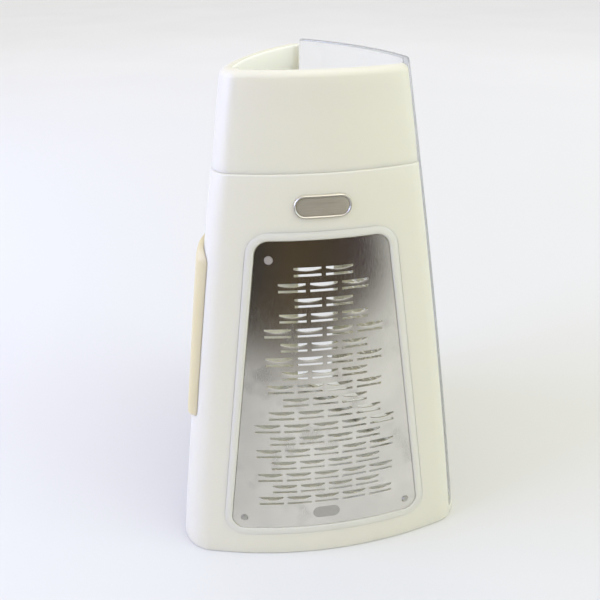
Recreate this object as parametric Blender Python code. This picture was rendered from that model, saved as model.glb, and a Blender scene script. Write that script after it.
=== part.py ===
"""Tower cheese grater: white body, coarse steel plate, clear side with a fine plate, slicer table.

Frame: metres, +Z up, origin on the floor at the middle of the base's box. The front side faces -Y, the clear
side faces 30 degrees and the slicer side 150 degrees, measured in plan from +X.
"""
import math

import bmesh
import bpy
from mathutils import Matrix, Vector

# Tower
HEIGHT = 0.250
TOWER_AXIS = Vector((-0.0003, -0.0137, 0.0))    # the three sides' common axis
BASE_INRADIUS = 0.0621          # axis to the middle of a side, at the base
SIDE_RADIUS = 0.2439            # plan radius of the bulged sides, at the base
TOP_SCALE = 0.503               # plan size at the rim, as a share of the base
BELLY = 0.016                   # how far the sides bow outwards half way up, as a share of the plan size
SIDE_FACES = {"front": 270.0, "clear": 30.0, "slicer": 150.0}
CORNER_RADII = {330.0: 0.0169, 90.0: 0.0169, 210.0: 0.0196}
WALL = 0.0030
SEAM_Z = 0.2094                 # joint between body and top collar
GAP = 0.0003                    # clearance between pieces that touch
RIM_THICKNESS = 0.0042

# Clear side
RAIL_Z = 0.0050                 # top of the white rail that the clear panel stands on
PANEL_SEAMS = (-38.0, 76.0)     # plan directions of its two upright edges
PANEL_TOP = HEIGHT + 0.0020
PANEL_WALL = 0.0026
SEAM_TURN = 1.3                 # plan angle that gives the clearance at an upright edge

# Front plate and the band round it
PLATE_Z = (0.0184, 0.1798)
PLATE_HALF_AT_BASE = 0.0544     # half width of the plate's side lines, carried down to the base
PLATE_NARROWING = 0.135         # loss of half width per unit of height
PLATE_CORNER = 0.0068
PLATE_SHEET = 0.0006
PLATE_LEVEL = -0.0006           # outer face of the sheet, from the wall's outer face
FRAME_WIDTH = 0.0040
FRAME_PROUD = 0.0004
POCKET_DEPTH = 0.0016
WINDOW_INSET = 0.0065
WINDOW_Z = (0.0320, 0.1700)

# Ribbon teeth of the front plate
TOOTH_ROWS = (2, 3, 2, 3, 4, 3, 4, 3, 4, 3, 4, 5, 4, 5, 4, 5, 4, 5)    # top row first
TOOTH_PITCH = 0.0148
ROW_PITCH = 0.00753
LAST_ROW_Z = 0.0367
SLOT_WIDTH = 0.0126
SLOT_HEIGHT = 0.0034

# Fine plate
FINE_HALF_AT_BASE = 0.0475
FINE_NARROWING = 0.125
FINE_POCKET = 0.0011
FINE_LEVEL = -0.0002
FINE_HOLE = 0.0030
FINE_PITCH = 0.0130

# Studs
STUD_RADIUS = 0.0020
STUD_SHANK = 0.0014
FRONT_STUDS = ((-0.0248, 0.1713), (-0.0447, 0.0252), (0.0447, 0.0252))
FINE_STUDS = ((-0.0195, 0.1735), (0.0195, 0.1735), (-0.0385, 0.0265), (0.0385, 0.0265))

# Badge
BADGE_CENTRE_Z = 0.1952
BADGE_HALF = (0.01275, 0.0051)
BADGE_RIM = 0.0011
BADGE_HEIGHT = 0.0012

# Slicer side
TABLE_Z = (0.0832, 0.1742)
TABLE_HALF = 0.0772             # half width, as carried down to the base
TABLE_TOP_CORNER = 0.0072
TABLE_FOOT_CORNER = 0.0030
TABLE_LIFT = (0.0010, 0.0028)   # height over the wall at its foot and at its top
SLICE_Z = (0.1240, 0.1330)
SLICE_HALF = 0.0340
BLADE_Z = (0.1120, 0.1296)
BLADE_HALF = 0.0375
BLADE_SHEET = 0.0006
BLADE_LIFT = 0.0023             # inner face of the blade over the wall

# Foot
RING_HEIGHT = 0.0040
RING_WIDTH = 0.0050


def clear_scene():
    for item in list(bpy.data.objects):
        bpy.data.objects.remove(item, do_unlink=True)


def material(name, colour, roughness, metallic=0.0, alpha=1.0, transmission=0.0):
    """A Principled material."""
    made = bpy.data.materials.new(name)
    made.use_nodes = True
    shader = made.node_tree.nodes["Principled BSDF"]
    shader.inputs["Base Color"].default_value = (*colour, 1.0)
    shader.inputs["Roughness"].default_value = roughness
    shader.inputs["Metallic"].default_value = metallic
    shader.inputs["Alpha"].default_value = alpha
    shader.inputs["Transmission Weight"].default_value = transmission
    return made


def scale_at(z):
    """Plan size at height z, as a share of the size at the base."""
    t = z / HEIGHT
    return 1.0 - (1.0 - TOP_SCALE) * t + 4.0 * BELLY * t * (1.0 - t)


def side_centre_depth():
    """Distance from the axis to the centre of a side's arc, at the base."""
    return SIDE_RADIUS - BASE_INRADIUS


def corner_reach(radius):
    """Distance from the axis to the centre of a corner's arc, at the base."""
    depth = side_centre_depth()
    return (-depth + math.sqrt(4.0 * (SIDE_RADIUS - radius) ** 2 - 3.0 * depth ** 2)) / 2.0


def side_half_angle(radius):
    """Plan angle between a side's middle and the start of the corner with this radius."""
    return math.degrees(math.asin(corner_reach(radius) * math.sin(math.pi / 3.0) / (SIDE_RADIUS - radius)))


def turn_between(angle, other):
    """Signed difference of two directions, in -180..180."""
    return (angle - other + 180.0) % 360.0 - 180.0


def outline_point(direction, z, lift=0.0):
    """Point of the tower's outline whose outward direction in plan is given, moved outwards by lift."""
    k = scale_at(z)
    out = Vector((math.cos(math.radians(direction)), math.sin(math.radians(direction)), 0.0))
    for corner, radius in CORNER_RADII.items():
        if abs(turn_between(direction, corner)) <= 60.0 - side_half_angle(radius):
            ray = Vector((math.cos(math.radians(corner)), math.sin(math.radians(corner)), 0.0))
            return TOWER_AXIS + ray * corner_reach(radius) * k + out * (radius * k + lift) + Vector((0, 0, z))
    face = min(SIDE_FACES.values(), key=lambda f: abs(turn_between(direction, f)))
    ray = Vector((math.cos(math.radians(face)), math.sin(math.radians(face)), 0.0))
    return TOWER_AXIS - ray * side_centre_depth() * k + out * (SIDE_RADIUS * k + lift) + Vector((0, 0, z))


def outline_directions(start, end):
    """Directions that follow the outline: close together round the corners, wider along the sides."""
    stops = {start, end}
    for turn in (-360.0, 0.0, 360.0):
        for face in SIDE_FACES.values():
            stops.update(face + turn + step * 3.5 for step in range(-4, 5))
        for corner in CORNER_RADII:
            stops.update(corner + turn + step * 11.0 for step in range(-4, 5))
    return sorted(s for s in stops if start <= s <= end and (s in (start, end) or
                  min(s - start, end - s) > 0.8))


def face_point(side, u, out, z):
    """Point that lies u to the side and out outwards of the tower's axis, as seen facing a side."""
    face = math.radians(SIDE_FACES[side])
    return TOWER_AXIS + Vector((out * math.cos(face) - u * math.sin(face),
                                out * math.sin(face) + u * math.cos(face), z))


def side_point(side, u, z, lift=0.0):
    """Point on a side's arc, carried on past the corners: u to the side, lift outwards."""
    k = scale_at(z)
    radius = SIDE_RADIUS * k
    turn = math.asin(max(-1.0, min(1.0, u / radius)))
    out = (radius + lift) * math.cos(turn) - side_centre_depth() * k
    return face_point(side, (radius + lift) * math.sin(turn), out, z)


def side_normal(side, u, z):
    """True outward normal of a side, with the lean of the taper."""
    step = 0.0005
    along = side_point(side, u + step, z) - side_point(side, u - step, z)
    up = side_point(side, u, z + step) - side_point(side, u, z - step)
    return along.cross(up).normalized()


def add_object(name, bm, finish):
    """Turn a bmesh into a named, smooth-shaded object."""
    bmesh.ops.recalc_face_normals(bm, faces=bm.faces)
    mesh = bpy.data.meshes.new(name)
    bm.to_mesh(mesh)
    bm.free()
    mesh.shade_smooth()
    mesh.set_sharp_from_angle(angle=math.radians(32.0))
    made = bpy.data.objects.new(name, mesh)
    bpy.context.scene.collection.objects.link(made)
    if finish:
        mesh.materials.append(finish)
    return made


def sweep(name, directions, section, finish, closed=False):
    """Carry a closed section of (lift, z) points along the outline."""
    bm = bmesh.new()
    loops = [[bm.verts.new(outline_point(d, z, lift)) for lift, z in section] for d in directions]
    count = len(section)
    pairs = list(zip(loops, loops[1:] + loops[:1])) if closed else list(zip(loops, loops[1:]))
    for first, second in pairs:
        for i in range(count):
            j = (i + 1) % count
            bm.faces.new((first[i], second[i], second[j], first[j]))
    if not closed:
        bm.faces.new(loops[0])
        bm.faces.new(loops[-1])
        bmesh.ops.triangulate(bm, faces=[f for f in bm.faces if len(f.verts) > 4])
    return add_object(name, bm, finish)


def wall_section(z_low, z_high, outer, inner, rows):
    """A plain wall's section: up the outside and down the inside."""
    heights = [z_low + (z_high - z_low) * i / rows for i in range(rows + 1)]
    return [(outer, z) for z in heights] + [(inner, z) for z in reversed(heights)]


def rounded_rows(z_low, z_high, half_width, foot_corner, top_corner, rows=5, arc_steps=3):
    """Rows (z, half width) of a shape with rounded corners; half_width is a function of z."""
    made = []
    for i in range(arc_steps + 1):
        a = math.pi / 2.0 * i / arc_steps
        z = z_low + foot_corner * (1.0 - math.cos(a))
        made.append((z, half_width(z) - foot_corner * (1.0 - math.sin(a))))
    z_from = z_low + foot_corner
    z_to = z_high - top_corner
    for i in range(1, rows):
        z = z_from + (z_to - z_from) * i / rows
        made.append((z, half_width(z)))
    for i in range(arc_steps + 1):
        a = math.pi / 2.0 * (1.0 - i / arc_steps)
        z = z_high - top_corner * (1.0 - math.cos(a))
        made.append((z, half_width(z) - top_corner * (1.0 - math.sin(a))))
    return made


def column_share(step, columns, crowd):
    """Place of a column between -1 and 1; crowd moves the columns towards both ends."""
    t = 2.0 * step / columns - 1.0
    return (1.0 - crowd) * t + crowd * math.sin(math.pi / 2.0 * t)


def slab(name, rows, outer, inner, finish, columns=8, crowd=0.0):
    """A sheet over rows of (z, half width); outer and inner give the point at (u, z) on each face."""
    bm = bmesh.new()
    grids = []
    for face in (outer, inner):
        grid = [[bm.verts.new(face(half * column_share(c, columns, crowd), z)) for c in range(columns + 1)]
                for z, half in rows]
        grids.append(grid)
        for low, high in zip(grid, grid[1:]):
            for c in range(columns):
                bm.faces.new((low[c], low[c + 1], high[c + 1], high[c]))
    front, back = grids
    edge_front = front[0] + [r[-1] for r in front[1:]] + front[-1][-2::-1] + [r[0] for r in front[-2:0:-1]]
    edge_back = back[0] + [r[-1] for r in back[1:]] + back[-1][-2::-1] + [r[0] for r in back[-2:0:-1]]
    for i, vert in enumerate(edge_front):
        j = (i + 1) % len(edge_front)
        bm.faces.new((vert, edge_front[j], edge_back[j], edge_back[i]))
    return add_object(name, bm, finish)


def side_slab(name, side, rows, low, high, finish, columns=8):
    """A sheet on one side, between two lifts."""
    return slab(name, rows, lambda u, z: side_point(side, u, z, high),
                lambda u, z: side_point(side, u, z, low), finish, columns)


def boolean(target, cutter, operation="DIFFERENCE"):
    """Apply an exact Boolean and drop the cutter."""
    change = target.modifiers.new("cut", "BOOLEAN")
    change.operation = operation
    change.object = cutter
    change.solver = "EXACT"
    depsgraph = bpy.context.evaluated_depsgraph_get()
    mesh = bpy.data.meshes.new_from_object(target.evaluated_get(depsgraph))
    target.modifiers.remove(change)
    target.data = mesh
    mesh.shade_smooth()
    mesh.set_sharp_from_angle(angle=math.radians(32.0))
    bpy.data.objects.remove(cutter, do_unlink=True)


def plate_half(z):
    return PLATE_HALF_AT_BASE - PLATE_NARROWING * z


def fine_half(z):
    return FINE_HALF_AT_BASE - FINE_NARROWING * z


def plate_rows(half, grow, corner=PLATE_CORNER):
    """Rows of a plate's outline, grown all round by grow."""
    return rounded_rows(PLATE_Z[0] - grow, PLATE_Z[1] + grow, lambda z: half(z) + grow, corner, corner)


def cut_window(target, side, half):
    """Open the wall behind a plate, leaving a ledge that the plate lies on."""
    rows = rounded_rows(WINDOW_Z[0], WINDOW_Z[1], lambda z: half(z) - WINDOW_INSET, PLATE_CORNER,
                        PLATE_CORNER)
    boolean(target, side_slab("window_cutter", side, rows, -0.008, 0.004, None))


def rod(name, side, u, z, low, high, radius, finish, segments=10, dome=0.0):
    """A round bar through a side along its true normal, between two levels, with a domed outer end."""
    normal = side_normal(side, u, z)
    bm = bmesh.new()
    profile = [(0.0, low), (radius, low), (radius, high - dome)]
    if dome:
        profile += [(radius * math.cos(a), high - dome + dome * math.sin(a)) for a in (0.55, 1.05)]
    profile.append((0.0, high))
    verts = [bm.verts.new((r, 0.0, h)) for r, h in profile]
    edges = [bm.edges.new(pair) for pair in zip(verts, verts[1:])]
    bmesh.ops.spin(bm, geom=verts + edges, axis=(0, 0, 1), cent=(0, 0, 0), steps=segments,
                   angle=2.0 * math.pi)
    bmesh.ops.remove_doubles(bm, verts=bm.verts, dist=0.00001)
    made = add_object(name, bm, finish)
    place = Matrix.Translation(side_point(side, u, z)) @ normal.to_track_quat("Z", "Y").to_matrix().to_4x4()
    made.matrix_world = place
    return made


def stud(name, side, u, z, level, depth, finish):
    """A mushroom-headed stud: its shank passes the plate, its head stands just above it."""
    head = rod(name, side, u, z, level + GAP, level + GAP + 0.0009, STUD_RADIUS, finish, dome=0.0006)
    shank = rod("shank", side, u, z, depth, level + GAP + 0.0004, STUD_SHANK, None)
    bpy.context.view_layer.update()
    boolean(head, shank, "UNION")
    return head


def drill(target, side, places, radius):
    for u, z in places:
        bit = rod("drill", side, u, z, -0.012, 0.008, radius, None)
        bpy.context.view_layer.update()
        boolean(target, bit)


def body_shell(finish):
    """Front and slicer walls in one moulding, with a rail along the foot of the clear side."""
    around = outline_directions(0.0, 359.0)
    wall = wall_section(0.0, SEAM_Z - GAP / 2.0, 0.0, -WALL, 6)
    shell = sweep("body_shell", around, wall, finish, closed=True)
    start, end = PANEL_SEAMS
    opening = outline_directions(start - SEAM_TURN, end + SEAM_TURN)
    boolean(shell, sweep("side_cutter", opening, wall_section(RAIL_Z, HEIGHT, 0.01, -0.012, 6), None))
    pocket = plate_rows(plate_half, FRAME_WIDTH + GAP, PLATE_CORNER + FRAME_WIDTH)
    boolean(shell, side_slab("pocket_cutter", "front", pocket, -POCKET_DEPTH, 0.01, None))
    cut_window(shell, "front", plate_half)
    slot = rounded_rows(SLICE_Z[0], SLICE_Z[1], lambda z: SLICE_HALF, 0.002, 0.002, rows=2)
    boolean(shell, side_slab("slice_cutter", "slicer", slot, -0.008, 0.008, None))
    return shell


def top_collar(finish):
    """Upper band of the two white sides, with a thick rounded rim."""
    start, end = PANEL_SEAMS[1] + SEAM_TURN, PANEL_SEAMS[0] + 360.0 - SEAM_TURN
    low = SEAM_Z + GAP / 2.0
    rim_radius = RIM_THICKNESS / 2.0
    outer = [(0.0, low + (HEIGHT - rim_radius - low) * i / 3.0) for i in range(4)]
    crown = [(-rim_radius + rim_radius * math.cos(a), HEIGHT - rim_radius + rim_radius * math.sin(a))
             for a in (math.pi / 6 * i for i in range(1, 6))]
    inner = [(-RIM_THICKNESS, HEIGHT - rim_radius), (-RIM_THICKNESS, HEIGHT - 0.010), (-WALL, HEIGHT - 0.016),
             (-WALL, low)]
    return sweep("top_collar", outline_directions(start, end), outer + crown + inner, finish)


def clear_panel(finish):
    """Clear side that stands on the rail, with a pocket and window for the fine plate."""
    start, end = PANEL_SEAMS
    section = wall_section(RAIL_Z + GAP, PANEL_TOP - 0.0008, 0.0, -PANEL_WALL, 6)
    middle = len(section) // 2
    section[middle:middle] = [(-0.0008, PANEL_TOP), (-PANEL_WALL + 0.0008, PANEL_TOP)]
    panel = sweep("clear_panel", outline_directions(start, end), section, finish)
    pocket = plate_rows(fine_half, GAP)
    boolean(panel, side_slab("pocket_cutter", "clear", pocket, -FINE_POCKET, 0.01, None))
    cut_window(panel, "clear", fine_half)
    return panel


def blade_frame(finish):
    """Smooth band round the front plate."""
    outer = plate_rows(plate_half, FRAME_WIDTH, PLATE_CORNER + FRAME_WIDTH)
    frame = side_slab("front_blade_frame", "front", outer, GAP - POCKET_DEPTH, FRAME_PROUD, finish)
    boolean(frame, side_slab("frame_cutter", "front", plate_rows(plate_half, GAP), -0.01, 0.01, None))
    return frame


def coarse_plate(finish):
    """Curved steel sheet with rows of wide slots in a brick pattern."""
    plate = side_slab("coarse_plate", "front", plate_rows(plate_half, 0.0), PLATE_LEVEL - PLATE_SHEET,
                      PLATE_LEVEL, finish)
    for index, count in enumerate(TOOTH_ROWS):
        z = LAST_ROW_Z + (len(TOOTH_ROWS) - 1 - index) * ROW_PITCH
        for tooth in range(count):
            u = (tooth - (count - 1) / 2.0) * TOOTH_PITCH
            boolean(plate, slot_cutter("front", u, z, SLOT_WIDTH, SLOT_HEIGHT))
    drill(plate, "front", FRONT_STUDS, STUD_SHANK + GAP)
    return plate


def slot_cutter(side, u, z, width, height):
    """A flat-sided block through a side's sheet."""
    centre = side_point(side, u, z)
    turn = side_normal(side, u, z).to_track_quat("Z", "Y").to_matrix().to_4x4()
    bm = bmesh.new()
    bmesh.ops.create_cube(bm, size=1.0, matrix=Matrix.Diagonal((width, height, 0.006, 1.0)))
    cutter = add_object("slot_cutter", bm, None)
    cutter.matrix_world = Matrix.Translation(centre) @ turn
    bpy.context.view_layer.update()
    return cutter


def fine_plate(finish):
    """Second curved steel sheet, with small holes in a staggered pattern."""
    plate = side_slab("fine_plate", "clear", plate_rows(fine_half, 0.0), FINE_LEVEL - PLATE_SHEET, FINE_LEVEL,
                      finish)
    row = 0
    z = WINDOW_Z[0] + 0.006
    while z < WINDOW_Z[1] - 0.005:
        reach = fine_half(z) - WINDOW_INSET - FINE_HOLE
        shift = FINE_PITCH / 2.0 * (row % 2)
        across = int((reach - shift) / FINE_PITCH)
        places = [(shift + i * FINE_PITCH, z) for i in range(-across - (row % 2), across + 1)]
        for u, height in places:
            boolean(plate, slot_cutter("clear", u, height, FINE_HOLE, FINE_HOLE))
        z += FINE_PITCH * 0.87
        row += 1
    drill(plate, "clear", FINE_STUDS, STUD_SHANK + GAP)
    return plate


def badge(bezel_finish, insert_finish):
    """Blank stadium badge above the front plate: a rim and a plate inside it."""
    half_u, half_z = BADGE_HALF
    outer = rounded_rows(BADGE_CENTRE_Z - half_z, BADGE_CENTRE_Z + half_z, lambda z: half_u, half_z - 0.0001,
                         half_z - 0.0001, rows=1, arc_steps=4)
    inner_u, inner_z = half_u - BADGE_RIM, half_z - BADGE_RIM
    inner = rounded_rows(BADGE_CENTRE_Z - inner_z, BADGE_CENTRE_Z + inner_z, lambda z: inner_u,
                         inner_z - 0.0001, inner_z - 0.0001, rows=1, arc_steps=4)
    filled_u, filled_z = inner_u - GAP, inner_z - GAP
    filled = rounded_rows(BADGE_CENTRE_Z - filled_z, BADGE_CENTRE_Z + filled_z, lambda z: filled_u,
                          filled_z - 0.0001, filled_z - 0.0001, rows=1, arc_steps=4)
    bezel = side_slab("badge_bezel", "front", outer, GAP, BADGE_HEIGHT, bezel_finish)
    boolean(bezel, side_slab("bezel_cutter", "front", inner, -0.005, 0.005, None))
    side_slab("badge_insert", "front", filled, GAP, BADGE_HEIGHT - 0.0004, insert_finish)


def skin_point(side, u, z, lift):
    """Point on the tower's real outline, corners included, that lies u to the side of a face's middle."""
    k = scale_at(z)
    face = SIDE_FACES[side]
    corner = (face + 60.0 if u > 0 else face - 60.0) % 360.0
    radius = CORNER_RADII[corner]
    reach = corner_reach(radius) * k
    corner_u = math.copysign(reach * math.sin(math.pi / 3.0), u)
    limit = (SIDE_RADIUS * k + lift) * math.sin(math.radians(side_half_angle(radius)))
    if abs(u) <= limit:
        out = math.sqrt((SIDE_RADIUS * k + lift) ** 2 - u ** 2) - side_centre_depth() * k
    else:
        room = (radius * k + lift) ** 2 - (u - corner_u) ** 2
        out = reach / 2.0 + math.sqrt(max(room, 0.0))
    return face_point(side, u, out, z)


def slicer_table(finish):
    """Raised table that spans the slicer side and ends in upright edges past its corners."""
    def half(z):
        return TABLE_HALF * scale_at(z)

    def outer(u, z):
        share = (z - TABLE_Z[0]) / (TABLE_Z[1] - TABLE_Z[0])
        lift = TABLE_LIFT[0] + (TABLE_LIFT[1] - TABLE_LIFT[0]) * share
        k = scale_at(z)
        out = math.sqrt((SIDE_RADIUS * k + lift) ** 2 - u ** 2) - side_centre_depth() * k
        return face_point("slicer", u, out, z)

    rows = rounded_rows(TABLE_Z[0], TABLE_Z[1], half, TABLE_FOOT_CORNER, TABLE_TOP_CORNER)
    table = slab("slicer_table", rows, outer, lambda u, z: skin_point("slicer", u, z, GAP), finish,
                 columns=24, crowd=0.95)
    slot = rounded_rows(SLICE_Z[0], SLICE_Z[1], lambda z: SLICE_HALF, 0.002, 0.002, rows=2)
    boolean(table, side_slab("slice_cutter", "slicer", slot, -0.008, 0.012, None))
    return table


def slicer_blade(finish):
    """Straight blade below the slicing slot, its edge pointing up into it."""
    rows = [(BLADE_Z[0], BLADE_HALF), (BLADE_Z[1], BLADE_HALF)]
    return side_slab("slicer_blade", "slicer", rows, BLADE_LIFT, BLADE_LIFT + BLADE_SHEET, finish, columns=8)


def base_ring(finish):
    """Non-slip ring inside the foot."""
    outer = -WALL - GAP
    return sweep("base_ring", outline_directions(0.0, 359.0),
                 wall_section(0.0, RING_HEIGHT, outer, outer - RING_WIDTH, 1), finish, closed=True)


def build():
    clear_scene()
    white = material("white_plastic", (0.86, 0.85, 0.80), 0.38)
    cream = material("cream_plastic", (0.80, 0.78, 0.66), 0.42)
    steel = material("steel", (0.62, 0.61, 0.58), 0.28, metallic=1.0)
    badge_metal = material("badge_metal", (0.66, 0.63, 0.56), 0.35, metallic=0.8)
    badge_face = material("badge_face", (0.45, 0.43, 0.40), 0.45, metallic=0.6)
    clear = material("clear_plastic", (0.93, 0.95, 0.94), 0.05, alpha=0.35, transmission=1.0)
    rubber = material("grey_rubber", (0.72, 0.72, 0.70), 0.70)

    body_shell(white)
    top_collar(white)
    blade_frame(white)
    coarse_plate(steel)
    for number, (u, z) in enumerate(FRONT_STUDS, 1):
        stud(f"coarse_stud_{number}", "front", u, z, PLATE_LEVEL, GAP - POCKET_DEPTH, steel)
    badge(badge_metal, badge_face)

    panel = clear_panel(clear)
    fine = fine_plate(steel)
    moving = [panel, fine]
    for number, (u, z) in enumerate(FINE_STUDS, 1):
        moving.append(stud(f"fine_stud_{number}", "clear", u, z, FINE_LEVEL, GAP - FINE_POCKET, steel))
    hinge = bpy.data.objects.new("clear_side_axis", None)
    hinge.location = side_point("clear", 0.0, RAIL_Z + GAP)
    bpy.context.scene.collection.objects.link(hinge)
    bpy.context.view_layer.update()
    for piece in moving:
        piece.parent = hinge
        piece.matrix_parent_inverse = hinge.matrix_world.inverted()

    slicer_table(cream)
    slicer_blade(steel)
    rivet_foot = BLADE_LIFT + BLADE_SHEET + 2 * GAP
    for number, side in enumerate((-1, 1), 1):
        rod(f"slicer_rivet_{number}", "slicer", side * (SLICE_HALF + 0.0015), BLADE_Z[0] + 0.004, rivet_foot,
            rivet_foot + 0.0010, STUD_RADIUS, steel, dome=0.0006)
    base_ring(rubber)


build()
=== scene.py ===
"""Looks of the three-sided tower grater: fine meshes, procedural materials, studio floor, lights and camera.

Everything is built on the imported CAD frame. Metres, +Z up; the front side faces -Y, the clear side faces
30 degrees and the slicer side 150 degrees, measured in plan from +X.
"""

import math

import bmesh
import bpy
from mathutils import Matrix, Vector


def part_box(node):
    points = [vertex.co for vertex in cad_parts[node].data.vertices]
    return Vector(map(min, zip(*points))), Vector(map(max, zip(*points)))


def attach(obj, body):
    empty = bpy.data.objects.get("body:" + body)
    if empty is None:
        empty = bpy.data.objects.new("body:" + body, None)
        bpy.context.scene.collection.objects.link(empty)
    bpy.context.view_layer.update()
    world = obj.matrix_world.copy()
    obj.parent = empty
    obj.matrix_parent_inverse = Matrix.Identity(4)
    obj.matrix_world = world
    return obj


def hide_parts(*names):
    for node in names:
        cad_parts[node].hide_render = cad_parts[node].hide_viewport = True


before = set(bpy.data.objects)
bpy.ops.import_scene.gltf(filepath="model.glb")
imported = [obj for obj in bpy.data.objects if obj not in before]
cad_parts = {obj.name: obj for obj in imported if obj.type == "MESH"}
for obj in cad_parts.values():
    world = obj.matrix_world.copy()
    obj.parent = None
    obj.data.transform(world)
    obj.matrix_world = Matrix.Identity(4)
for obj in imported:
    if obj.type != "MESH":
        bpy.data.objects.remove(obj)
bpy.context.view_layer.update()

TOWER, CLEAR = "tower", "clear_side"
MM = 0.001

# Sizes read from the frame
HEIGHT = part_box("top_collar")[1].z
SEAM_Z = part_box("body_shell")[1].z
RING_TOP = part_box("base_ring")[1].z
PANEL_FOOT, PANEL_TOP = (corner.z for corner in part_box("clear_panel"))
PLATE_LOW, PLATE_HIGH = (corner.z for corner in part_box("coarse_plate"))
TABLE_LOW, TABLE_HIGH = (corner.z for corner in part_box("slicer_table"))
BLADE_LOW, BLADE_HIGH = (corner.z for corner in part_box("slicer_blade"))
BADGE_LOW, BADGE_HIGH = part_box("badge_bezel")

# The outline that the CAD pieces follow: arcs for the three sides and corners, scaled down with height
TOWER_AXIS = Vector((-0.3 * MM, -13.7 * MM, 0.0))
SIDE_RADIUS = 243.9 * MM
CENTRE_DEPTH = SIDE_RADIUS - (TOWER_AXIS.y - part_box("body_shell")[0].y)
TOP_SCALE = 0.503
BELLY = 0.016
SIDE_FACES = {"front": 270.0, "clear": 30.0, "slicer": 150.0}
CORNER_RADII = {330.0: 16.9 * MM, 90.0: 16.9 * MM, 210.0: 19.6 * MM}
SIDE_TO_CORNER = 60.0
WALL = 3.0 * MM
GAP = 0.3 * MM

# Directions of the clear side's two upright edges, and of the white sides' ends next to them
PANEL_SEAMS = (-38.0, 76.0)
SEAM_TURN = 1.3
WHITE_SPAN = (PANEL_SEAMS[1] + SEAM_TURN, PANEL_SEAMS[0] + 360.0 - SEAM_TURN)
PANEL_WALL = 2.6 * MM

# Rounded upright ends: the outline's radius there, and the turns of the round that get a station
END_REACH = 13.0 * MM
END_TURNS = (0, 20, 45, 70)

# Edges that turn by more degrees than this are shaded sharp
SHARP, PLATE_SHARP, BLADE_SHARP = 32.0, 40.0, 8.0

# Plates: half width at the base and its loss per unit of height, corner radius
COARSE_SIDES = (54.4 * MM, 0.135)
FINE_SIDES = (47.5 * MM, 0.125)
PLATE_CORNER = 6.8 * MM
SHEET = 0.6 * MM
COARSE_LEVEL = -0.6 * MM
FINE_LEVEL = -0.2 * MM
POCKET_DEPTH = 1.6 * MM
FINE_POCKET = 1.1 * MM
FRAME_WIDTH = 4.0 * MM
WINDOW_INSET = 6.5 * MM
WINDOW_Z = (32.0 * MM, 170.0 * MM)

# Ribbon teeth: rows from the top, pitch, rows' pitch, lowest row, mesh cells to a pitch; heights of the cut
# above a strip, the strip, the slit below it and the bow of its upper edge, in the lowest and highest row
COARSE_TEETH = dict(rows=(2, 3, 2, 3, 4, 3, 4, 3, 4, 3, 4, 5, 4, 5, 4, 5, 4, 5), pitch=14.8 * MM,
                    row=7.565 * MM, low=36.6 * MM, cells=14, cut=0.95 * MM, strip=(3.0 * MM, 2.25 * MM),
                    slit=1.2 * MM, bow=(1.35 * MM, 0.85 * MM), lift=0.06 * MM)
FINE_TEETH = dict(pitch=6.4 * MM, row=4.9 * MM, low=37.0 * MM, cells=8, cut=0.8 * MM,
                  strip=(1.4 * MM, 1.4 * MM), slit=0.7 * MM, bow=(0.35 * MM, 0.35 * MM), lift=0.7 * MM)


# ---------------- outline

def direction(angle):
    return Vector((math.cos(math.radians(angle)), math.sin(math.radians(angle)), 0.0))


def turn_between(angle, other):
    return (angle - other + 180.0) % 360.0 - 180.0


def scale_at(z):
    """Plan size at height z, as a share of the size at the base."""
    t = z / HEIGHT
    return 1.0 - (1.0 - TOP_SCALE) * t + 4.0 * BELLY * t * (1.0 - t)


def corner_reach(radius):
    """How far from the tower's axis a corner's arc has its centre, at the base."""
    return (-CENTRE_DEPTH + math.sqrt(4.0 * (SIDE_RADIUS - radius) ** 2 - 3.0 * CENTRE_DEPTH ** 2)) / 2.0


def side_half_angle(radius):
    """Half of a side's arc, up to a corner of this radius."""
    return math.degrees(math.asin(corner_reach(radius) * math.sin(math.pi / 3.0) / (SIDE_RADIUS - radius)))


def outline_point(angle, z, lift=0.0):
    """Point of the outline whose outward direction in plan is angle, moved outwards by lift."""
    k = scale_at(z)
    out = direction(angle)
    for corner, radius in CORNER_RADII.items():
        if abs(turn_between(angle, corner)) <= SIDE_TO_CORNER - side_half_angle(radius):
            centre = TOWER_AXIS + direction(corner) * corner_reach(radius) * k
            return centre + out * (radius * k + lift) + Vector((0, 0, z))
    face = min(SIDE_FACES.values(), key=lambda f: abs(turn_between(angle, f)))
    centre = TOWER_AXIS - direction(face) * CENTRE_DEPTH * k
    return centre + out * (SIDE_RADIUS * k + lift) + Vector((0, 0, z))


def outline_directions(start, end, side_step=1.75, corner_step=4.0, corner_zone=46.0):
    """Directions from start to end; a step turns less along the sides, whose radius is large."""
    angles, angle = [start], start
    while angle < end - 0.01:
        near_corner = min(abs(turn_between(angle + 0.01, c)) for c in CORNER_RADII) < corner_zone
        angle += corner_step if near_corner else side_step
        angles.append(min(angle, end))
    return angles


def face_point(side, u, out, z):
    """Point u to the side and out outwards of the tower's axis, as seen facing a side."""
    a = math.radians(SIDE_FACES[side])
    return TOWER_AXIS + Vector((out * math.cos(a) - u * math.sin(a), out * math.sin(a) + u * math.cos(a), z))


def side_point(side, u, z, lift=0.0):
    """Point on a side's arc, carried on past the corners."""
    k = scale_at(z)
    turn = math.asin(max(-1.0, min(1.0, u / (SIDE_RADIUS * k))))
    reach = SIDE_RADIUS * k + lift
    return face_point(side, reach * math.sin(turn), reach * math.cos(turn) - CENTRE_DEPTH * k, z)


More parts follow.
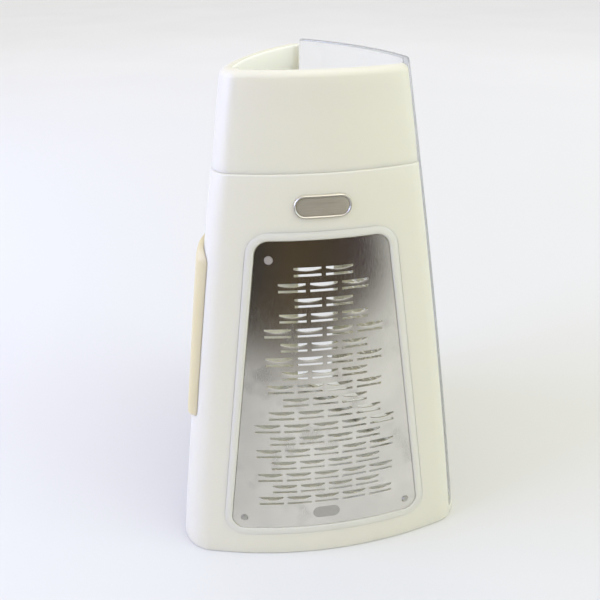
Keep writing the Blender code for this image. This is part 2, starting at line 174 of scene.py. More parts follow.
def skin_point(side, u, z, lift):
    """Point of the real outline, corners included, u to the side of a face's middle."""
    k = scale_at(z)
    radius = CORNER_RADII[(SIDE_FACES[side] + math.copysign(SIDE_TO_CORNER, u)) % 360.0]
    reach = corner_reach(radius) * k
    if abs(u) <= (SIDE_RADIUS * k + lift) * math.sin(math.radians(side_half_angle(radius))):
        out = math.sqrt((SIDE_RADIUS * k + lift) ** 2 - u ** 2) - CENTRE_DEPTH * k
    else:
        room = (radius * k + lift) ** 2 - (abs(u) - reach * math.sin(math.pi / 3.0)) ** 2
        out = reach / 2.0 + math.sqrt(max(room, 0.0))
    return face_point(side, u, out, z)


def side_normal(side, u, z):
    step = 0.5 * MM
    along = side_point(side, u + step, z) - side_point(side, u - step, z)
    up = side_point(side, u, z + step) - side_point(side, u, z - step)
    return along.cross(up).normalized()


# ---------------- lines and loops

def in_mm(*points):
    """Points given in millimetres."""
    return [(first * MM, second * MM) for first, second in points]


def spaced(low, high, steps):
    return [low + (high - low) * i / steps for i in range(steps + 1)]


def neighbours(items, closed=True):
    """Each item with the one after it; in a closed row also the last with the first."""
    return list(zip(items, items[1:] + items[:1] if closed else items[1:]))


def arc(centre, radius, start, end, steps):
    """Points of an arc about a centre, angles in degrees."""
    turns = [math.radians(angle) for angle in spaced(start, end, steps)]
    return [(centre[0] + radius * math.cos(t), centre[1] + radius * math.sin(t)) for t in turns]


def corner_rises(radius, angles):
    """Heights above a rounded corner's foot, for angles round it."""
    return [radius * (1.0 - math.cos(math.radians(a))) for a in angles]


def rounded_in(room, radius):
    """How far a rounded edge draws in, at room from where it ends."""
    if room >= radius:
        return 0.0
    return radius - math.sqrt(max(radius ** 2 - (radius - room) ** 2, 0.0))


def rounded_half(z, low, high, sides, radius):
    """Half width at z of an outline with slanted sides and rounded corners."""
    base, loss = sides
    slant = math.sqrt(1.0 + loss ** 2)
    for centre_z, inside in ((low + radius, z < low + radius), (high - radius, z > high - radius)):
        if inside:
            drop = min(abs(z - centre_z), radius)
            return base - loss * centre_z - radius * slant + math.sqrt(radius ** 2 - drop ** 2)
    return base - loss * z


def rounded_loop(low, high, sides, radius, grow, arc_steps=10, edge_steps=24):
    """The same outline, grown, as a closed loop of (u, z) points from its foot's right end."""
    base, loss = sides
    slant = math.sqrt(1.0 + loss ** 2)
    tilt = math.degrees(math.atan(loss))
    low_z, high_z = low + radius, high - radius
    corners = []
    for sign, centre_z, start, end in ((1, low_z, -90, tilt), (1, high_z, tilt, 90),
                                       (-1, high_z, 90, 180 - tilt), (-1, low_z, 180 - tilt, 270)):
        centre_u = sign * (base - loss * centre_z - radius * slant)
        corners.append(arc((centre_u, centre_z), radius + grow, start, end, arc_steps))
    loop = []
    for corner, following in neighbours(corners):
        (u0, z0), (u1, z1) = corner[-1], following[0]
        edge = list(zip(spaced(u0, u1, edge_steps), spaced(z0, z1, edge_steps)))
        loop += corner + edge[1:-1]
    return loop


def stadium_loop(half_u, half_z, middle_u, middle_z, steps=14, edge=6):
    """A long round-ended outline; returns a function of how far it is grown."""
    right_u, left_u = middle_u + (half_u - half_z), middle_u - (half_u - half_z)

    def at(grow):
        radius = half_z + grow
        loop = arc((right_u, middle_z), radius, -90, 90, steps)
        loop += [(u, middle_z + radius) for u in spaced(right_u, left_u, edge)[1:-1]]
        loop += arc((left_u, middle_z), radius, 90, 270, steps)
        return loop + [(u, middle_z - radius) for u in spaced(left_u, right_u, edge)[1:-1]]
    return at


# ---------------- mesh tools

def shade(mesh, sharp):
    """Smooth shading, up to an angle in degrees."""
    mesh.shade_smooth()
    mesh.set_sharp_from_angle(angle=math.radians(sharp))


def finish_mesh(name, bm, material, sharp=SHARP):
    """Link a bmesh as a smooth-shaded object."""
    bmesh.ops.recalc_face_normals(bm, faces=bm.faces)
    mesh = bpy.data.meshes.new(name)
    bm.to_mesh(mesh)
    bm.free()
    shade(mesh, sharp)
    piece = bpy.data.objects.new(name, mesh)
    bpy.context.scene.collection.objects.link(piece)
    if material:
        mesh.materials.append(material)
    return piece


def apply_modifiers(piece, sharp=SHARP):
    depsgraph = bpy.context.evaluated_depsgraph_get()
    mesh = bpy.data.meshes.new_from_object(piece.evaluated_get(depsgraph))
    piece.modifiers.clear()
    piece.data = mesh
    shade(mesh, sharp)


def cut(piece, *cutters):
    for cutter in cutters:
        change = piece.modifiers.new("cut", "BOOLEAN")
        change.operation = "DIFFERENCE"
        change.object = cutter
        change.solver = "EXACT"
        apply_modifiers(piece)
        bpy.data.objects.remove(cutter, do_unlink=True)


def join(piece, other):
    """Add another piece's mesh to a piece."""
    bm = bmesh.new()
    bm.from_mesh(piece.data)
    bm.from_mesh(other.data)
    bpy.data.objects.remove(other, do_unlink=True)
    bm.to_mesh(piece.data)
    bm.free()
    shade(piece.data, SHARP)


def bridge(bm, one, two):
    """Faces between two closed rows of vertices."""
    for (a, b), (c, d) in zip(neighbours(one), neighbours(two)):
        bm.faces.new((a, b, d, c))


def rounded_stations(angles, radius):
    """A sweep's stations with rounded ends: a direction, and how far the section is drawn in there."""
    turn = math.degrees(radius / END_REACH)
    first = [(angles[0] + turn * (1.0 - math.cos(t)), radius * (1.0 - math.sin(t)))
             for t in map(math.radians, END_TURNS)]
    last = [(angles[-1] - (angle - angles[0]), inset) for angle, inset in reversed(first)]
    clear_of_ends = turn * 1.05
    middle = [(a, 0.0) for a in angles if angles[0] + clear_of_ends < a < angles[-1] - clear_of_ends]
    return first + middle + last


def looks_inwards(start, end):
    """Whether a section's line is upright and on the inside of the wall."""
    return start[0] + end[0] < -1.9 * WALL and abs(start[1] - end[1]) > abs(start[0] - end[0])


def sweep(name, angles, section, material, closed=False, end_radius=0.0, lit_inside=None):
    """Carry a closed section of (lift, z) points along the outline; its open ends can be rounded.

    The section can be a function of the direction. The inside material, a lighter copy of the white plastic,
    is painted light on the upright faces that look inwards and on the first end.
    """
    section_at = section if callable(section) else lambda angle: section
    stations = rounded_stations(angles, end_radius) if end_radius else [(angle, 0.0) for angle in angles]
    first_section = section_at(angles[0])
    inwards = [looks_inwards(*line) for line in neighbours(first_section)]
    low_lift, high_lift = min(first_section)[0], max(first_section)[0]

    def inset_lift(lift, inset):
        return min(max(lift, low_lift + inset), high_lift - inset) if inset else lift

    bm = bmesh.new()
    loops = [[bm.verts.new(outline_point(a, z, inset_lift(lift, inset))) for lift, z in section_at(a)]
             for a, inset in stations]
    for index, (one, two) in enumerate(neighbours(loops, closed)):
        for (a, b), (c, d), inward in zip(neighbours(one), neighbours(two), inwards):
            face = bm.faces.new((a, c, d, b))
            # Inward faces and the faces at the first end take the lighter inside material: painted light
            face.material_index = 1 if lit_inside and (inward or index < len(END_TURNS)) else 0
    if not closed:
        caps = [bm.faces.new(loops[0]), bm.faces.new(loops[-1])]
        caps[0].material_index = 1 if lit_inside else 0
        bmesh.ops.triangulate(bm, faces=caps)
    piece = finish_mesh(name, bm, material)
    if lit_inside:
        piece.data.materials.append(lit_inside)
    return piece


def band(name, side, loop_at, profile, material, filled=False, lift_at=lambda lift, z: lift):
    """A ring or a filled pad on a side: loop_at(grow) gives its outline, profile its (grow, lift) section.

    A ring's section is closed. A pad's goes from its foot up over the edge and in to the filled middle.
    lift_at can change a lift with the height z on the side.
    """
    bm = bmesh.new()
    loops = [[bm.verts.new(side_point(side, u, z, lift_at(lift, z))) for u, z in loop_at(grow)]
             for grow, lift in profile]
    for one, two in neighbours(loops, closed=not filled):
        bridge(bm, one, two)
    if filled:
        fills = [bm.faces.new(loops[0]), bm.faces.new(loops[-1])]
        bmesh.ops.triangulate(bm, faces=fills, ngon_method="EAR_CLIP")
    return finish_mesh(name, bm, material)


def sheet_solid(name, rows, face, back, material, columns=40, crowd=0.0, sharp=SHARP):
    """A solid between two faces given as functions of (u, z), over rows of (z, half width).

    crowd brings the columns closer together towards both side edges.
    """
    def share(c):
        t = 2.0 * c / columns - 1.0
        return (1.0 - crowd) * t + crowd * math.sin(math.pi / 2.0 * t)

    bm = bmesh.new()
    borders = []
    for surface in (face, back):
        grid = [[bm.verts.new(surface(half * share(c), z)) for c in range(columns + 1)] for z, half in rows]
        for low, high in neighbours(grid, closed=False):
            for c in range(columns):
                bm.faces.new((low[c], low[c + 1], high[c + 1], high[c]))
        up, down = [row[-1] for row in grid[1:]], [row[0] for row in grid[-2:0:-1]]
        borders.append(grid[0] + up + grid[-1][-2::-1] + down)
    bridge(bm, *borders)
    return finish_mesh(name, bm, material, sharp)


def lathe(name, profile, place, material, steps=32):
    """A turned piece: profile of (radius, height) about place's own Z."""
    bm = bmesh.new()
    rings = []
    for radius, height in profile:
        turns = [2 * math.pi * i / steps for i in range(steps)] if radius else [0.0]
        rings.append([bm.verts.new((radius * math.cos(t), radius * math.sin(t), height)) for t in turns])
    for one, two in neighbours(rings, closed=False):
        for i in range(steps):
            j = (i + 1) % steps
            corners = (one[i % len(one)], one[j % len(one)], two[j % len(two)], two[i % len(two)])
            bm.faces.new(list(dict.fromkeys(corners)))
    bmesh.ops.transform(bm, matrix=place, verts=bm.verts)
    return finish_mesh(name, bm, material)


def show(piece, body, slot, *nodes):
    """Hang a finished piece on the body it rides on and hide the CAD nodes it stands for; slot, its finish,
    is not used.
    """
    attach(piece, body)
    if nodes:
        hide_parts(*nodes)


# ---------------- materials

class Nodes:
    """Short calls for building the nodes of a material or a world."""

    def __init__(self, owner, coordinates="Object"):
        owner.use_nodes = True
        self.owner = owner
        self.tree = owner.node_tree
        self.place = self.add("ShaderNodeTexCoord").outputs[coordinates]

    def add(self, kind, **settings):
        node = self.tree.nodes.new(kind)
        for key, value in settings.items():
            setattr(node, key, value)
        return node

    def link(self, source, target):
        self.tree.links.new(source, target)

    def axes(self):
        """The coordinates' X, Y and Z."""
        split = self.add("ShaderNodeSeparateXYZ")
        self.link(self.place, split.inputs[0])
        return list(split.outputs)

    def stretched(self, scale):
        """The coordinates, stretched by a scale for each axis."""
        mapping = self.add("ShaderNodeMapping")
        mapping.inputs["Scale"].default_value = scale
        self.link(self.place, mapping.inputs["Vector"])
        return mapping.outputs["Vector"]

    def noise(self, scale, detail=3.0, roughness=0.5, vector=None):
        node = self.add("ShaderNodeTexNoise")
        for key, value in (("Scale", scale), ("Detail", detail), ("Roughness", roughness)):
            node.inputs[key].default_value = value
        self.link(vector or self.place, node.inputs["Vector"])
        return node.outputs["Fac"]

    def span(self, source, low, high, to_low, to_high):
        """Map a value's range to another, clamped."""
        node = self.add("ShaderNodeMapRange")
        for key, value in (("From Min", low), ("From Max", high), ("To Min", to_low), ("To Max", to_high)):
            node.inputs[key].default_value = value
        self.link(source, node.inputs["Value"])
        return node.outputs["Result"]

    def smooth_span(self, source, low, high, to_low, to_high):
        """The same with an eased start and end."""
        result = self.span(source, low, high, to_low, to_high)
        result.node.interpolation_type = "SMOOTHSTEP"
        return result

    def spread(self, noise, to_low, to_high):
        """Map the range where a noise mostly lies to another."""
        return self.span(noise, 0.3, 0.7, to_low, to_high)

    def mix(self, factor, first, second):
        """Mix two colours; either can be a colour or another node's output."""
        node = self.add("ShaderNodeMix", data_type="RGBA")
        self.link(factor, node.inputs["Factor"])
        for key, colour in (("A", first), ("B", second)):
            socket = [s for s in node.inputs if s.name == key and s.type == "RGBA"][0]
            if isinstance(colour, tuple):
                socket.default_value = (*colour, 1.0)
            else:
                self.link(colour, socket)
        return [s for s in node.outputs if s.type == "RGBA"][0]

    def mottled(self, noise, first, second):
        """Two colours mixed by a noise."""
        return self.mix(self.spread(noise, 0.0, 1.0), first, second)

    def maths(self, operation, first, second):
        node = self.add("ShaderNodeMath", operation=operation)
        for i, value in enumerate((first, second)):
            if isinstance(value, (int, float)):
                node.inputs[i].default_value = value
            else:
                self.link(value, node.inputs[i])
        return node.outputs[0]

    def bump(self, height, strength, distance, normal=None):
        node = self.add("ShaderNodeBump")
        node.inputs["Strength"].default_value = strength
        node.inputs["Distance"].default_value = distance
        self.link(height, node.inputs["Height"])
        if normal:
            self.link(normal, node.inputs["Normal"])
        return node.outputs["Normal"]

    def set(self, **values):
        """Set the shader's own inputs, or link them to another node's output."""
        for key, value in values.items():
            socket = self.tree.nodes["Principled BSDF"].inputs[key.replace("_", " ")]
            if isinstance(value, (int, float, tuple)):
                socket.default_value = value
            else:
                self.link(value, socket)


def new_material(name):
    return Nodes(bpy.data.materials.new(name))


def darker(tone, share):
    return tuple(c * share for c in tone)


def moulded_plastic(name, light, dark, roughness, gloss_spread=0.06, grain=0.10):
    """Satin injection-moulded plastic: faint flow variation in tone, fine spark grain and handling marks."""
    n = new_material(name)
    tone = n.mottled(n.noise(9.0, 2.0, 0.5, n.stretched((1.0, 1.0, 0.35))), light, dark)
    tone = n.mix(n.span(n.noise(900.0, 1.0), 0.78, 0.84, 0.0, 0.10), tone, darker(dark, 0.80))
    gloss = n.spread(n.noise(38.0, 4.0, 0.6), roughness - gloss_spread, roughness + gloss_spread)
    fine = n.bump(n.noise(2600.0, 2.0, 0.6), grain, 0.02 * MM)
    n.set(Base_Color=tone, Roughness=gloss, Normal=n.bump(n.noise(22.0, 2.0), 0.05, 0.4 * MM, fine),
          IOR=1.50, Subsurface_Weight=0.30, Subsurface_Scale=1.0,
          Subsurface_Radius=(8.0 * MM, 7.5 * MM, 5.0 * MM))
    return n.owner


def rolled_steel(name, tone=(0.76, 0.735, 0.66), roughness=0.18, smudge=0.10):
    """Bright rolled stainless sheet: fine upright rolling lines, broad water marks and greasy smudges."""
    n = new_material(name)
    lines = n.noise(260.0, 3.0, 0.6, n.stretched((9.0, 9.0, 0.35)))
    greasy = n.span(n.noise(60.0, 2.0, 0.5, n.stretched((1.0, 1.0, 0.8))), 0.56, 0.70, 0.0, 1.0)
    greasy = n.maths("MULTIPLY", greasy, n.smooth_span(n.axes()[2], 150 * MM, 165 * MM, 1.0, 0.0))
    colour = n.mix(n.span(n.noise(34.0, 3.0, 0.55), 0.35, 0.75, 0.0, 1.0), tone, darker(tone, 0.86))
    colour = n.mix(n.maths("MULTIPLY", greasy, 0.35), colour, (0.46, 0.445, 0.40))
    rough = n.maths("ADD", n.spread(lines, roughness - 0.03, roughness + 0.05),
                    n.maths("MULTIPLY", greasy, smudge))
    wave = n.bump(n.noise(30.0, 1.0), 0.04, 0.5 * MM)
    n.set(Base_Color=colour, Metallic=1.0, Roughness=rough, Normal=n.bump(lines, 0.03, 0.01 * MM, wave))
    return n.owner


def clear_acrylic(name, tone, edge_tone, alpha, edge_alpha, roughness):
    """Clear moulded acrylic with faint scuffs; painted shade makes it denser and greyer where it is seen
    edge-on.
    """
    n = new_material(name)
    scuffs = n.span(n.noise(240.0, 4.0, 0.7, n.stretched((1.0, 1.0, 6.0))), 0.60, 0.75, 0.0, 1.0)
    turned = n.add("ShaderNodeLayerWeight")
    turned.inputs["Blend"].default_value = 0.5
    edge_on = n.smooth_span(turned.outputs["Facing"], 0.45, 0.85, 0.0, 1.0)
    density = n.maths("ADD", n.span(edge_on, 0.0, 1.0, alpha, edge_alpha), n.maths("MULTIPLY", scuffs, 0.03))
    n.set(Base_Color=n.mix(edge_on, tone, edge_tone), Alpha=density, Transmission_Weight=0.6, IOR=1.49,
          Roughness=n.maths("ADD", n.maths("MULTIPLY", scuffs, 0.10), roughness),
          Normal=n.bump(n.noise(16.0, 1.0), 0.03, 0.5 * MM))
    return n.owner


def satin_metal(name, light, dark, roughness, metallic=0.9):
    """Brushed and lacquered metal."""
    n = new_material(name)
    brush = n.noise(700.0, 3.0, 0.6, n.stretched((0.2, 1.0, 3.0)))
    n.set(Base_Color=n.mottled(brush, light, dark), Metallic=metallic,
          Roughness=n.spread(brush, roughness - 0.05, roughness + 0.07),
          Normal=n.bump(brush, 0.08, 0.02 * MM))
    return n.owner


def etched_steel(name, light, dark):
    """Acid-etched mark: matt and darker than the sheet round it."""
    n = new_material(name)
    pits = n.noise(3000.0, 2.0, 0.7)
    n.set(Base_Color=n.mottled(pits, light, dark), Metallic=0.5, Roughness=n.spread(pits, 0.48, 0.62),
          Normal=n.bump(pits, 0.25, 0.02 * MM))
    return n.owner


def soft_rubber(name, tone):
    n = new_material(name)
    skin = n.noise(1400.0, 3.0, 0.6)
    n.set(Base_Color=n.mix(n.noise(25.0), tone, darker(tone, 0.9)), Roughness=n.spread(skin, 0.6, 0.8),
          Normal=n.bump(skin, 0.2, 0.03 * MM))
    return n.owner


WHITE = moulded_plastic("white_plastic", (0.675, 0.642, 0.518), (0.66, 0.627, 0.498), 0.40)
# A lighter copy of the white plastic for the inside faces: painted light that stands in for light reaching
# the inside
LIT_INSIDE_WHITE = moulded_plastic("white_inside_painted_light", (0.85, 0.825, 0.72), (0.835, 0.81, 0.705), 0.42)
BAND_WHITE = moulded_plastic("band_plastic", (0.685, 0.65, 0.525), (0.675, 0.64, 0.51), 0.38)
PEG = moulded_plastic("peg_plastic", (0.37, 0.325, 0.265), (0.335, 0.29, 0.235), 0.5)
PIN = satin_metal("plate_pin", (0.50, 0.485, 0.435), (0.42, 0.405, 0.36), 0.30)
CREAM = moulded_plastic("cream_plastic", (0.65, 0.555, 0.315), (0.63, 0.535, 0.295), 0.46)
STEEL = rolled_steel("rolled_steel")
TOOTH_STEEL = rolled_steel("fine_steel", roughness=0.24)
BLADE_STEEL = rolled_steel("blade_steel", tone=(0.66, 0.65, 0.63), roughness=0.14, smudge=0.04)
ETCHED = etched_steel("etched_steel", (0.45, 0.43, 0.375), (0.38, 0.36, 0.31))
BADGE_RIM = satin_metal("badge_rim", (0.74, 0.70, 0.60), (0.64, 0.60, 0.51), 0.42)
BADGE_FACE = satin_metal("badge_face", (0.45, 0.405, 0.305), (0.40, 0.355, 0.265), 0.50, metallic=0.45)
ACRYLIC = clear_acrylic("clear_acrylic", (0.90, 0.91, 0.90), (0.30, 0.31, 0.30), 0.10, 0.85, 0.03)
# Grey copy of the acrylic for the rim and front edge: painted shade in place of refraction; then a paler
# copy for the back end
ACRYLIC_SHADED_EDGE = clear_acrylic("clear_acrylic_painted_shade_edge", (0.38, 0.39, 0.38), (0.25, 0.26, 0.25), 0.65, 0.95, 0.12)
ACRYLIC_END = clear_acrylic("clear_acrylic_end", (0.90, 0.91, 0.90), (0.80, 0.81, 0.79), 0.10, 0.28, 0.05)
RUBBER = soft_rubber("ring_rubber", (0.70, 0.70, 0.675))


# ---------------- white body

FOOT_ROUND = 1.3 * MM
INNER_CHAMFER = 0.6 * MM
END_ROUND = 0.8 * MM
RAIL_SPAN = (PANEL_SEAMS[0] - 3.0, PANEL_SEAMS[1] + 3.0)


def coarse_loop(grow):
    return rounded_loop(PLATE_LOW, PLATE_HIGH, COARSE_SIDES, PLATE_CORNER, grow)


def fine_loop(grow):
    return rounded_loop(PLATE_LOW, PLATE_HIGH, FINE_SIDES, PLATE_CORNER, grow)


def window_loop(sides):
    return rounded_loop(WINDOW_Z[0], WINDOW_Z[1], (sides[0] - WINDOW_INSET, sides[1]), PLATE_CORNER, 0.0)


def side_plug(side, rows, low, high, columns):
    """A cutter that follows a side between two lifts, over rows of (z, half width)."""
    return sheet_solid("cutter", rows, lambda u, z: side_point(side, u, z, high),
                       lambda u, z: side_point(side, u, z, low), None, columns=columns)


def loop_cutter(side, loop, low, high):
    """A plug of an outline's area, in rows whose widths lie between the outline's points."""
    zs = [z for u, z in loop]
    right = sorted({(round(z, 7), round(u, 7)) for u, z in loop if u > 0})
    rows = []
    for z in spaced(min(zs), max(zs), 40):
        za, ua = [point for point in right if point[0] <= z + 1e-7][-1]
        zb, ub = [point for point in right if point[0] >= z - 1e-7][0]
        share = 0.0 if zb - za < 1e-9 else (z - za) / (zb - za)
        rows.append((z, ua + (ub - ua) * share))
    return side_plug(side, rows, low, high, 36)


def body_shell():
    """Two white sides with softened edges, and the low rail that carries the clear side."""
    shoulder = 0.8 * MM
    foot = arc((-FOOT_ROUND, FOOT_ROUND), FOOT_ROUND, -90, 0, 6)
    section = foot + [(0.0, z) for z in spaced(FOOT_ROUND, SEAM_Z - shoulder, 34)[1:]]
    section += arc((-shoulder, SEAM_Z - shoulder), shoulder, 0, 90, 5)[1:]
    section += [(-WALL, z) for z in spaced(SEAM_Z, INNER_CHAMFER, 34)] + [(-WALL + INNER_CHAMFER, 0.0)]
    shell = sweep("body_shell_skin", outline_directions(*WHITE_SPAN), section, WHITE, end_radius=END_ROUND,
                  lit_inside=LIT_INSIDE_WHITE)
    cut(shell, loop_cutter("front", coarse_loop(FRAME_WIDTH + GAP), -POCKET_DEPTH, 10 * MM),
        loop_cutter("front", window_loop(COARSE_SIDES), -8 * MM, 4 * MM), slot_cutter())
    rail_top, rail_edge = PANEL_FOOT - GAP, 0.7 * MM
    section = foot + arc((-rail_edge, rail_top - rail_edge), rail_edge, 0, 90, 4)
    section += [(-WALL, rail_top), (-WALL, INNER_CHAMFER), (-WALL + INNER_CHAMFER, 0.0)]
    join(shell, sweep("rail", outline_directions(*RAIL_SPAN), section, WHITE))
    show(shell, TOWER, "white_plastic", "body_shell")


def top_collar():
    """Upper band with a thick rounded rim, a fine groove above the seam's chamfer."""
    low = SEAM_Z + 0.02 * MM
    rim, inner_round, edge, step = 2.9 * MM, 1.6 * MM, 0.15 * MM, 0.6 * MM
    thickness, corner_extra = 4.8 * MM, 3.2 * MM
    rim_low, wall_top = HEIGHT - 9 * MM, HEIGHT - 17 * MM

    def section(angle):
        """The rim is thickest in the corner between the two white sides."""
        nearness = max(0.0, math.cos(math.radians(1.6 * turn_between(angle, 210.0))))
        thick = thickness + corner_extra * nearness ** 2
        points = arc((-step - edge, low + edge), edge, -90, 0, 3)
        points += [(-step * (1.0 - t) ** 2, low + edge + (HEIGHT - rim - low - edge) * t)
                   for t in (0.06, 0.12, 0.2, 0.3, 0.4, 0.5, 0.6, 0.7, 0.8, 0.9, 1.0)]
        points += arc((-rim, HEIGHT - rim), rim, 0, 90, 10)[1:]
        points += arc((-thick + inner_round, HEIGHT - inner_round), inner_round, 90, 180, 6)
        points += [(-thick, rim_low), (-thick + 0.5 * MM, rim_low - 2.5 * MM)]
        return points + [(-WALL, z) for z in spaced(wall_top, low, 6)]

    collar = sweep("top_collar_skin", outline_directions(*WHITE_SPAN), section, WHITE, end_radius=END_ROUND,
                   lit_inside=LIT_INSIDE_WHITE)
    show(collar, TOWER, "white_plastic", "top_collar")


def front_frame():
    """Band round the front plate: a soft crown that falls away to the plate on its inner side."""
    foot = GAP - POCKET_DEPTH
    inner = in_mm((0.0, -0.45), (0.15, -0.15), (0.5, 0.12), (1.1, 0.30), (1.9, 0.36))
    outer = in_mm((-1.3, 0.32), (-0.6, 0.20), (-0.2, 0.08), (0.0, -0.02), (0.22, -0.10))
    profile = [(GAP, foot)] + [(GAP + grow, lift) for grow, lift in inner]
    profile += [(FRAME_WIDTH + grow, lift) for grow, lift in outer]
    profile.append((profile[-1][0], foot))
    fade_low, fade_height, least = PLATE_LOW - 1 * MM, 16 * MM, 0.1

    def lift_at(lift, z):
        """The crown runs out into the side below the plate; the band's foot stays where it is."""
        share = max(0.0, min(1.0, (z - fade_low) / fade_height))
        return lift if lift == foot else lift * (least + (1.0 - least) * share)

    made = band("front_blade_frame_skin", "front", coarse_loop, profile, BAND_WHITE, lift_at=lift_at)
    show(made, TOWER, "white_plastic", "front_blade_frame")


# ---------------- steel plates

PEG_LIFT = 0.05 * MM
FLAT_PEG = in_mm((0.0, -0.8), (1.4, -0.8), (1.4, -0.1), (1.85, 0.0), (1.95, 0.12), (1.85, 0.24),
                 (1.5, 0.28), (0.7, 0.24), (0.3, 0.18), (0.0, 0.16))
PIN_HEAD = in_mm((0.0, -0.8), (1.3, -0.8), (1.3, -0.1), (1.72, 0.0), (1.78, 0.15), (1.70, 0.32),
                 (1.45, 0.42), (0.7, 0.46), (0.0, 0.47))


def tooth_half(cells):
    """Cells from a tooth's middle to its end: a pitch leaves two cells between teeth."""
    return (cells - 2) // 2


def row_half(count, cells):
    """Cells from the middle to the end of a row of teeth."""
    return (count - 1) * cells // 2 + tooth_half(cells) if count else 0


def tooth_lines(teeth, rows):
    """Lines across the rows of teeth, from the lowest: height, teeth in the row, what starts there, bow."""
    lines = []
    for index, count in enumerate(reversed(rows)):
        share = index / (len(rows) - 1)
        strip, bow = (low + (high - low) * share for low, high in (teeth["strip"], teeth["bow"]))
        low = teeth["low"] + index * teeth["row"] - (teeth["cut"] + strip + teeth["slit"]) / 2.0
        strip_low = low + teeth["slit"]
        lines += [(low, count, "slit", 0.0), (strip_low, count, "strip", 0.0)]
        lines += [(strip_low + strip * up, count, "strip", bow * up ** 2) for up in (0.3, 0.6, 0.85)]
        strip_high = strip_low + strip
        lines += [(strip_high, count, "cut", bow), (strip_high + teeth["cut"], count, "land", 0.0)]
    return lines


def ribbon_plate(name, side, sides, level, teeth, rows, material):
    """Steel sheet with ribbon teeth: strips between two cuts, with an upper edge bowed down and outwards."""
    step = teeth["pitch"] / teeth["cells"]
    margin_cells = 4
    half_columns = max(row_half(count, teeth["cells"]) for count in rows) + margin_cells
    corner = corner_rises(PLATE_CORNER, range(0, 91, 15))
    lines = [(PLATE_LOW + rise, 0, "land", 0.0) for rise in corner] + tooth_lines(teeth, rows)
    lines += [(z, 0, "land", 0.0) for z in spaced(lines[-1][0], PLATE_HIGH - PLATE_CORNER, 3)[1:]]
    lines += [(PLATE_HIGH - rise, 0, "land", 0.0) for rise in reversed(corner[:-1])]

    def columns(z, count):
        """Sideways places of one line: tooth cells in the middle, stretched margins outside."""
        edge = rounded_half(z, PLATE_LOW, PLATE_HIGH, sides, PLATE_CORNER)
        reach = row_half(count, teeth["cells"])
        right = [i * step for i in range(reach)] + spaced(reach * step, edge, half_columns - reach)
        return [-u for u in reversed(right[1:])] + right

    def along_tooth(column, count):
        """How far along its tooth a column is, from -1 to 1, or None between teeth."""
        offset = column - half_columns
        half = tooth_half(teeth["cells"])
        for tooth in range(count):
            centre = -(count - 1) * teeth["cells"] // 2 + tooth * teeth["cells"]
            if centre - half <= offset <= centre + half:
                return (offset - centre) / half
        return None

    bm = bmesh.new()
    grid = []
    for z, count, _, bow in lines:
        row = []
        for column, u in enumerate(columns(z, count)):
            along = along_tooth(column, count) if bow else None
            arch = 0.0 if along is None else bow * (1.0 - along ** 2)
            lift = teeth["lift"] * arch / max(teeth["bow"])
            row.append(bm.verts.new(side_point(side, u, z - arch, level + lift)))
        grid.append(row)
    for (one, two), (_, count, kind, _) in zip(neighbours(grid, closed=False), lines):
        for column in range(2 * half_columns):
            here, there = along_tooth(column, count), along_tooth(column + 1, count)
            in_tooth = here is not None and there is not None and there > here
            if not (in_tooth and kind in ("slit", "cut")):
                bm.faces.new((one[column], one[column + 1], two[column + 1], two[column]))
    plate = finish_mesh(name, bm, material, sharp=PLATE_SHARP)
    thick = plate.modifiers.new("thickness", "SOLIDIFY")
    thick.thickness = SHEET
    thick.offset = -1.0
    thick.use_even_offset = False
    apply_modifiers(plate, sharp=PLATE_SHARP)
    return plate


def peg_nodes(prefix):
    return sorted(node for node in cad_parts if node.startswith(prefix))


def peg_place(node):
    """Where a peg stands, from its CAD node: side, u and z."""
    low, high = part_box(node)
    middle = (low + high) / 2.0
    side = {"coarse": "front", "fine": "clear", "slicer": "slicer"}[node.split("_")[0]]
    a = math.radians(SIDE_FACES[side])
    u = -(middle.x - TOWER_AXIS.x) * math.sin(a) + (middle.y - TOWER_AXIS.y) * math.cos(a)
    return side, u, middle.z


def aligned(side, u, z, lift=0.0):
    """A place on a side whose own Z points outwards."""
    normal = side_normal(side, u, z)
    turn = normal.to_track_quat("Z", "Y").to_matrix().to_4x4()
    return Matrix.Translation(side_point(side, u, z) + normal * lift) @ turn


def drill_pegs(plate, prefix, radius):
    """Open the sheet round each peg."""
    profile = [(0.0, -5 * MM), (radius, -5 * MM), (radius, 5 * MM), (0.0, 5 * MM)]
    for node in peg_nodes(prefix):
        cut(plate, lathe("drill", profile, aligned(*peg_place(node)), None, steps=28))


def pegs(prefix, body, level):
    """Pegs that hold a plate: a flat disc at the upper left of the front, satin steel pins elsewhere."""
    for node in peg_nodes(prefix):
        profile, material = (FLAT_PEG, PEG) if node == "coarse_stud_1" else (PIN_HEAD, PIN)
        peg = lathe(f"{node}_skin", profile, aligned(*peg_place(node), level + PEG_LIFT), material)
        show(peg, body, "steel", node)


def coarse_plate():
    """Front plate, with a blank etched lozenge on its face."""
    plate = ribbon_plate("coarse_plate_skin", "front", COARSE_SIDES, COARSE_LEVEL, COARSE_TEETH,
                         COARSE_TEETH["rows"], STEEL)
    drill_pegs(plate, "coarse_stud", 2.0 * MM)
    show(plate, TOWER, "steel", "coarse_plate")
    profile = [(grow, COARSE_LEVEL + lift)
               for grow, lift in in_mm((0.0, -0.1), (0.0, 0.03), (-0.1, 0.05), (-1.2, 0.05), (-2.4, 0.05))]
    mark = stadium_loop(7.3 * MM, 3.6 * MM, -0.3 * MM, 27.2 * MM)
    show(band("coarse_plate_mark", "front", mark, profile, ETCHED, filled=True), TOWER, "steel")


